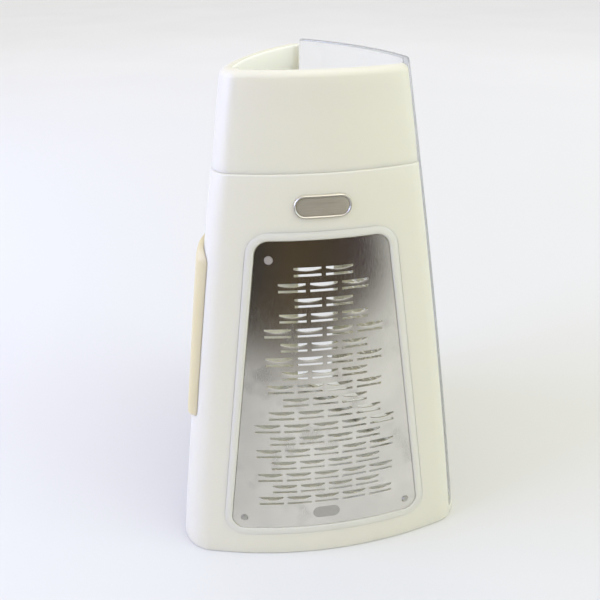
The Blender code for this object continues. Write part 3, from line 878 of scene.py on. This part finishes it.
def fine_plate():
    """The clear side's plate: rows as wide as its window, each a tooth wider or narrower than the next."""
    teeth = FINE_TEETH
    rows = []
    z = teeth["low"]
    while z < WINDOW_Z[1] - 3 * MM:
        room = rounded_half(z, PLATE_LOW, PLATE_HIGH, FINE_SIDES, PLATE_CORNER) - WINDOW_INSET - 1.5 * MM
        count = int(2.0 * room / teeth["pitch"])
        if count % 2 != len(rows) % 2:
            count -= 1
        rows.append(count)
        z += teeth["row"]
    plate = ribbon_plate("fine_plate_skin", "clear", FINE_SIDES, FINE_LEVEL, teeth, tuple(reversed(rows)),
                         TOOTH_STEEL)
    drill_pegs(plate, "fine_stud", 2.3 * MM)
    show(plate, CLEAR, "steel", "fine_plate")


# ---------------- badge

def badge():
    """Blank badge: a raised rim round a satin plate."""
    middle, half = (BADGE_LOW + BADGE_HIGH) / 2.0, (BADGE_HIGH - BADGE_LOW) / 2.0
    loop = stadium_loop(half.x, half.z, middle.x - TOWER_AXIS.x, middle.z)
    rim = in_mm((0.0, 0.02), (0.0, 0.5), (-0.12, 0.85), (-0.35, 1.1), (-0.65, 1.1), (-0.9, 0.9),
                (-1.1, 0.55), (-1.1, 0.02))
    face = in_mm((-1.15, 0.02), (-1.15, 0.55), (-1.4, 0.66), (-2.2, 0.72), (-3.4, 0.75))
    bezel = band("badge_bezel_skin", "front", loop, rim, BADGE_RIM)
    show(bezel, TOWER, "badge_metal", "badge_bezel")
    insert = band("badge_insert_skin", "front", loop, face, BADGE_FACE, filled=True)
    show(insert, TOWER, "badge_face", "badge_insert")


# ---------------- clear side

PANEL_EDGE = 0.9 * MM
RIM_ROUNDS = (4.5 * MM, 1.5 * MM)
RIM_ZONE = 12.0 * MM


def seam_distance(point, seam):
    """How far a point of the panel lies from one of its upright edges."""
    return (point - outline_point(seam, point.z, -PANEL_WALL / 2.0)).length


def rim_height(point):
    """Height of the clear side's rim above a point: it drops in a round at both ends."""
    drops = [rounded_in(seam_distance(point, seam), radius) for seam, radius in zip(PANEL_SEAMS, RIM_ROUNDS)]
    return PANEL_TOP - max(drops)


def clear_panel():
    """Clear side with rounded edges; its rim and front edge carry painted shade, a grey line."""
    edge, low, high = PANEL_EDGE, PANEL_FOOT + PANEL_EDGE, PANEL_TOP - PANEL_EDGE
    section = arc((-edge, low), edge, -90, 0, 4)
    section += [(0.0, z) for z in spaced(low, high, 36)[1:]]
    section += arc((-edge, high), edge, 0, 90, 4)[1:]
    section += arc((-PANEL_WALL + edge, high), edge, 90, 180, 4)
    section += [(-PANEL_WALL, z) for z in spaced(high, low, 36)[1:]]
    section += arc((-PANEL_WALL + edge, low), edge, 180, 270, 4)[1:]
    panel = sweep("clear_panel_skin", outline_directions(*PANEL_SEAMS), section, ACRYLIC, end_radius=edge)
    for vertex in panel.data.vertices:
        share = (vertex.co.z - PANEL_TOP + RIM_ZONE) / RIM_ZONE
        if share > 0.0:
            vertex.co.z -= (PANEL_TOP - rim_height(vertex.co)) * share
    panel.data.materials.append(ACRYLIC_SHADED_EDGE)
    panel.data.materials.append(ACRYLIC_END)
    # Painted shade: the rim and front edge take the grey copy of the acrylic, the back end the paler one
    for polygon in panel.data.polygons:
        on_rim = polygon.center.z > rim_height(polygon.center) - 1.2 * edge
        if on_rim or seam_distance(polygon.center, PANEL_SEAMS[0]) < 1.3 * MM:
            polygon.material_index = 1
        elif seam_distance(polygon.center, PANEL_SEAMS[1]) < 2.0 * MM:
            polygon.material_index = 2
    cut(panel, loop_cutter("clear", fine_loop(GAP), -FINE_POCKET, 10 * MM),
        loop_cutter("clear", window_loop(FINE_SIDES), -8 * MM, 4 * MM))
    show(panel, CLEAR, "clear_plastic", "clear_panel")


# ---------------- slicer side

TABLE_BASE_HALF = 77.2 * MM
TABLE_LIFTS = (1.0 * MM, 2.8 * MM)
TABLE_CORNER, TABLE_FOOT_CORNER = 7.2 * MM, 3.0 * MM
TABLE_SIDE_ROUND, TABLE_END_ROUND = 3.2 * MM, 0.9 * MM
SLICE_LOW, SLICE_HIGH, SLICE_HALF, SLICE_CORNER = 124.0 * MM, 133.0 * MM, 34.0 * MM, 2.0 * MM
BLADE_LIFT, BLADE_HALF, BLADE_THICKNESS = 2.3 * MM, 37.5 * MM, 0.6 * MM
RIB_PITCH, RIB_DEPTH, RIBS_HALF, RIB_END = 6.0 * MM, 0.3 * MM, 31 * MM, 3 * MM
RIBS_LOW, RIBS_HIGH = TABLE_LOW + 7 * MM, TABLE_HIGH - 9 * MM
RIVET_HEAD = in_mm((0.0, 0.0), (2.0, 0.0), (2.1, 0.25), (1.8, 0.65), (1.2, 0.92), (0.5, 1.04), (0.0, 1.06))


def slot_cutter():
    rows = [(z, SLICE_HALF - rounded_in(min(z - SLICE_LOW, SLICE_HIGH - z), SLICE_CORNER))
            for z in spaced(SLICE_LOW, SLICE_HIGH, 12)]
    return side_plug("slicer", rows, -8 * MM, 12 * MM, 30)


def table_half(z):
    """Half width of the slicer table, with its large top corners and small foot corners."""
    corners = rounded_in(TABLE_HIGH - z, TABLE_CORNER) + rounded_in(z - TABLE_LOW, TABLE_FOOT_CORNER)
    return TABLE_BASE_HALF * scale_at(z) - corners


def rib_depth(u, z):
    """Shallow rounded grooves between the ribs that food slides on, above and below the slot."""
    end = min(z - RIBS_LOW, RIBS_HIGH - z, RIB_END) / RIB_END
    if abs(u) > RIBS_HALF or end <= 0.0 or BLADE_LOW - RIB_END < z < SLICE_HIGH + RIB_END:
        return 0.0
    return RIB_DEPTH * (0.5 + 0.5 * math.cos(2 * math.pi * u / RIB_PITCH)) ** 4 * end


def slicer_table():
    """Raised table over the slicer side: its upright edges reach past the corners."""
    def face(u, z):
        share = (z - TABLE_LOW) / (TABLE_HIGH - TABLE_LOW)
        lift = TABLE_LIFTS[0] + (TABLE_LIFTS[1] - TABLE_LIFTS[0]) * share - rib_depth(u, z)
        lift -= rounded_in(table_half(z) - abs(u), TABLE_SIDE_ROUND)
        lift -= rounded_in(min(z - TABLE_LOW, TABLE_HIGH - z) + 0.02 * MM, TABLE_END_ROUND)
        k = scale_at(z)
        out = math.sqrt((SIDE_RADIUS * k + lift) ** 2 - u ** 2) - CENTRE_DEPTH * k
        return face_point("slicer", u, out, z)

    foot = [TABLE_LOW + rise for rise in corner_rises(TABLE_FOOT_CORNER, (0, 12, 24, 36, 50, 65, 80))]
    top = [TABLE_HIGH - rise for rise in corner_rises(TABLE_CORNER, (80, 70, 60, 50, 40, 30, 20, 12, 6, 0))]
    middle = spaced(TABLE_LOW + TABLE_FOOT_CORNER + 0.2 * MM, TABLE_HIGH - 0.9 * TABLE_CORNER, 70)
    table = sheet_solid("slicer_table_skin", [(z, table_half(z)) for z in foot + middle + top], face,
                        lambda u, z: skin_point("slicer", u, z, GAP), CREAM, columns=150, crowd=0.35)
    cut(table, slot_cutter())
    show(table, TOWER, "cream_plastic", "slicer_table")


def slicer_blade():
    """Ground blade, a flat strip whose bevelled upper edge stands over the slot, and its two rivets."""
    bevel_width, bevel_depth, corner = 2.2 * MM, 0.5 * MM, 0.8 * MM

    def face(u, z):
        bevel = max(0.0, z - (BLADE_HIGH - bevel_width)) / bevel_width
        return side_point("slicer", u, z, BLADE_LIFT + BLADE_THICKNESS - bevel_depth * bevel)

    rows = [(z, BLADE_HALF - max(0.0, corner - (z - BLADE_LOW))) for z in spaced(BLADE_LOW, BLADE_HIGH, 16)]
    blade = sheet_solid("slicer_blade_skin", rows, face, lambda u, z: side_point("slicer", u, z, BLADE_LIFT),
                        BLADE_STEEL, sharp=BLADE_SHARP)
    show(blade, TOWER, "steel", "slicer_blade")
    for node in peg_nodes("slicer_rivet"):
        place = aligned(*peg_place(node), BLADE_LIFT + BLADE_THICKNESS + 0.02 * MM)
        rivet = lathe(f"{node}_skin", RIVET_HEAD, place, BLADE_STEEL)
        show(rivet, TOWER, "steel", node)


def base_ring():
    """Non-slip ring inside the foot, with a rounded inner lip and a shallow groove on top."""
    outer, edge = -WALL - GAP, 1.2 * MM
    lip = outer - 5.0 * MM + edge
    section = [(outer, 0.0)]
    section += [(outer - inwards, RING_TOP - depth)
                for inwards, depth in in_mm((0.0, 0.0), (1.2, 0.0), (1.6, 0.5), (2.2, 0.5), (2.6, 0.0))]
    section += arc((lip, RING_TOP - edge), edge, 90, 180, 5) + arc((lip, edge), edge, 180, 270, 5)
    ring = sweep("base_ring_skin", outline_directions(0.0, 358.0), section, RUBBER, closed=True)
    show(ring, TOWER, "grey_rubber", "base_ring")


# ---------------- studio

def floor_material():
    """Matt pale paper with painted shade: darker round a point in front of the tower, lighter far from it.
    """
    n = new_material("floor_paper")
    away = n.add("ShaderNodeVectorMath", operation="DISTANCE")
    away.inputs[1].default_value = (0.05, -0.40, 0.0)
    n.link(n.place, away.inputs[0])
    # Painted shade: the floor lightens with distance from a point in front of the tower
    painted_shade_fade = n.smooth_span(away.outputs["Value"], 0.1, 2.2, 0.0, 1.0)
    tone = n.mix(painted_shade_fade, (0.63, 0.617, 0.557), (0.92, 0.915, 0.89))
    n.set(Base_Color=n.mix(n.spread(n.noise(3.0, 2.0), 0.0, 0.12), tone, (0.70, 0.70, 0.69)), Roughness=0.8)
    return n.owner


def painted_reflection_material():
    """Painted reflection: a dim glowing sheet seen only in gloss, brown streaks of a room that fade out over
    the table.
    """
    n = new_material("painted_room_reflection")
    n.tree.nodes.remove(n.tree.nodes["Principled BSDF"])
    x, y = n.axes()[:2]
    ramp = n.add("ShaderNodeValToRGB")
    streaks = n.spread(n.noise(7.0, 3.0, 0.6, n.stretched((1.0, 0.0, 0.05))), -0.05, 0.05)
    n.link(n.maths("ADD", n.span(x, -0.30, 0.45, 0.0, 1.0), streaks), ramp.inputs["Fac"])
    tones = {0.06: (0.036, 0.032, 0.029), 0.32: (0.084, 0.059, 0.030), 0.58: (0.058, 0.040, 0.022),
             0.80: (0.044, 0.024, 0.024)}
    stops = ramp.color_ramp.elements
    for place in list(tones)[1:-1]:
        stops.new(place)
    for stop, (place, tone) in zip(stops, tones.items()):
        stop.position = place
        stop.color = (*tone, 1.0)
    slanted = n.maths("ADD", y, n.maths("MULTIPLY", n.maths("MAXIMUM", x, 0.0), 0.52))
    near = n.smooth_span(slanted, -0.47, -0.235, 1.0, 0.0)
    near = n.maths("MAXIMUM", near, n.smooth_span(x, -0.10, 0.0, 0.22, 0.0))
    glow = n.add("ShaderNodeEmission")
    n.link(ramp.outputs["Color"], glow.inputs["Color"])
    blend = n.add("ShaderNodeMixShader")
    n.link(n.maths("MULTIPLY", near, n.smooth_span(x, 0.30, 0.74, 1.0, 0.0)), blend.inputs["Fac"])
    n.link(n.add("ShaderNodeBsdfTransparent").outputs[0], blend.inputs[1])
    n.link(glow.outputs[0], blend.inputs[2])
    n.link(blend.outputs[0], n.tree.nodes["Material Output"].inputs["Surface"])
    return n.owner


def strip_sheet(name, profile, x_low, x_high, material):
    """A sheet extruded along X from a (y, z) profile."""
    bm = bmesh.new()
    rows = [[bm.verts.new((x, y, z)) for x in (x_low, x_high)] for y, z in profile]
    for one, two in neighbours(rows, closed=False):
        bm.faces.new((one[0], one[1], two[1], two[0]))
    return finish_mesh(name, bm, material)


def area_light(name, place, target, size, power, tone):
    light = bpy.data.lights.new(name, "AREA")
    light.shape = "SQUARE"
    light.size = size
    light.energy = power
    light.color = tone
    lamp = bpy.data.objects.new(name, light)
    bpy.context.scene.collection.objects.link(lamp)
    lamp.location = place
    lamp.rotation_euler = (Vector(target) - Vector(place)).to_track_quat("-Z", "Y").to_euler()


def studio():
    """Pale floor, soft lights left, above and right, and a glowing sheet painted as a dim room for the steel
    to mirror.
    """
    floor = strip_sheet("studio_floor", [(-9.0, 0.0), (14.0, 0.0)], -12.0, 12.0, floor_material())
    room = [(-0.09, 0.0015), (-0.60, 0.0015)] + arc((-0.60, 0.2015), 0.2, 260, 180, 8) + [(-0.80, 1.1)]
    # Glowing sheet hidden from the camera: it paints a dim room's reflection onto the steel
    reflection_sheet = strip_sheet("painted_reflection_sheet", room, -1.6, 0.80, painted_reflection_material())
    for ray in ("camera", "diffuse", "transmission", "volume_scatter", "shadow"):
        setattr(reflection_sheet, f"visible_{ray}", False)

    sky = Nodes(bpy.data.worlds.new("studio"), "Generated")
    back = sky.tree.nodes["Background"]
    across = sky.span(sky.axes()[0], -1.0, 1.0, 0.0, 1.0)
    sky.link(sky.mix(across, (0.95, 0.94, 1.0), (0.815, 0.815, 0.79)), back.inputs["Color"])
    back.inputs["Strength"].default_value = 0.96
    bpy.context.scene.world = sky.owner

    area_light("window", (-1.14, -0.10, 0.60), (0.0, 0.0, 0.16), 0.8, 15.0, (0.44, 0.52, 1.0))
    area_light("top", (0.5, -0.35, 1.6), (0.0, 0.0, 0.1), 1.2, 9.0, (1.0, 0.99, 0.92))
    area_light("fill", (1.45, -0.80, 0.75), (0.0, 0.0, 0.10), 0.9, 9.2, (0.62, 0.83, 1.0))


def camera():
    """A wide lens close to the tower, above its rim and a little left of the front."""
    data = bpy.data.cameras.new("camera")
    data.sensor_width = 36.0
    data.lens = 37.51
    data.clip_start = 0.01
    eye = bpy.data.objects.new("camera", data)
    bpy.context.scene.collection.objects.link(eye)
    place = TOWER_AXIS + Vector((-42.99 * MM, -289.42 * MM, 296.8 * MM))
    target = TOWER_AXIS + Vector((-5.6 * MM, 0.0, 126.3 * MM))
    aim = (target - place).to_track_quat("-Z", "Y").to_matrix().to_4x4()
    eye.matrix_world = Matrix.Translation(place) @ aim @ Matrix.Rotation(math.radians(-0.834), 4, "Z")
    bpy.context.scene.camera = eye


body_shell()
top_collar()
front_frame()
coarse_plate()
pegs("coarse_stud", TOWER, COARSE_LEVEL)
badge()
clear_panel()
fine_plate()
pegs("fine_stud", CLEAR, FINE_LEVEL)
slicer_table()
slicer_blade()
base_ring()
studio()
camera()
bpy.context.scene.view_settings.view_transform = "Standard"
